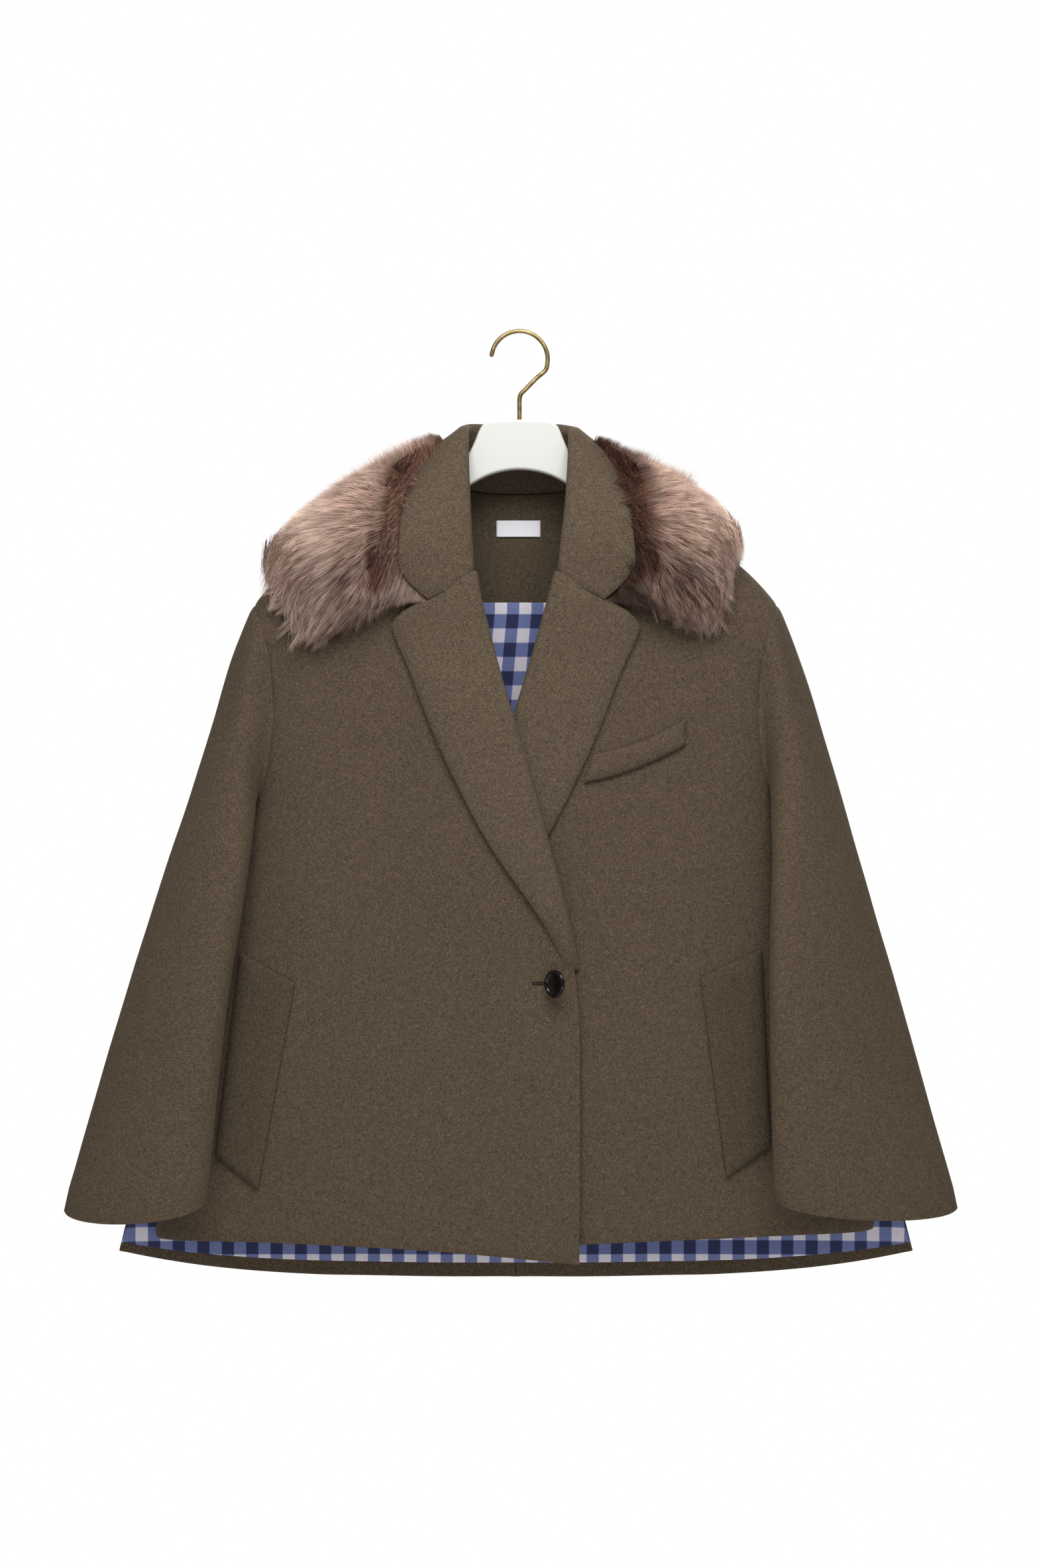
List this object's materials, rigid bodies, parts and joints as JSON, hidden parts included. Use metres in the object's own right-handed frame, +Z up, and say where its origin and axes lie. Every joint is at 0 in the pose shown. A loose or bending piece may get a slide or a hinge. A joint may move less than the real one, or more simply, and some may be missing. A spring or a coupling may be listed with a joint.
{
  "type": "short coat on a hanger",
  "caption": "Short flared wool coat with a fur collar, notched lapels, a wide lapped front closed by a button, slanted pocket welts and a gingham back lining, hanging on a flat hanger.",
  "frame": {"origin": "the inside of the hook's crown, where it hangs on a rail or peg", "axes": "+X towards the wearer's left, +Y towards the back, +Z up"},
  "size_m": [0.834, 0.2174, 0.8992],
  "materials": {
    "felted_wool": "brown-grey felted wool with a short soft nap",
    "long_fur": "long soft hair, dark brown at the roots and rosy beige at the tips",
    "gingham_cotton": "blue and white gingham, plain weave",
    "woven_tape": "off-white woven tape, left blank",
    "black_horn": "polished black",
    "sewing_thread": "wound thread",
    "white_paint": "satin white paint",
    "antique_brass": "brushed antique brass wire"
  },
  "bodies": {
    "root": {"front_right": "felted_wool", "front_left": "felted_wool", "back_right": "felted_wool", "back_left": "felted_wool", "sleeve_right_front": "felted_wool", "sleeve_right_back": "felted_wool", "sleeve_left_front": "felted_wool", "sleeve_left_back": "felted_wool", "collar": "felted_wool", "lapel_right": "felted_wool", "lapel_left": "felted_wool", "fur_collar_right": "long_fur", "fur_collar_left": "long_fur", "neck_facing": "felted_wool", "label": "woven_tape", "back_lining": "gingham_cotton", "pocket_welt_right": "felted_wool", "pocket_welt_left": "felted_wool", "breast_welt": "felted_wool", "button": "black_horn", "button_shank": "sewing_thread", "hanger": "white_paint", "hook": "antique_brass"}
  },
  "joints": []
}
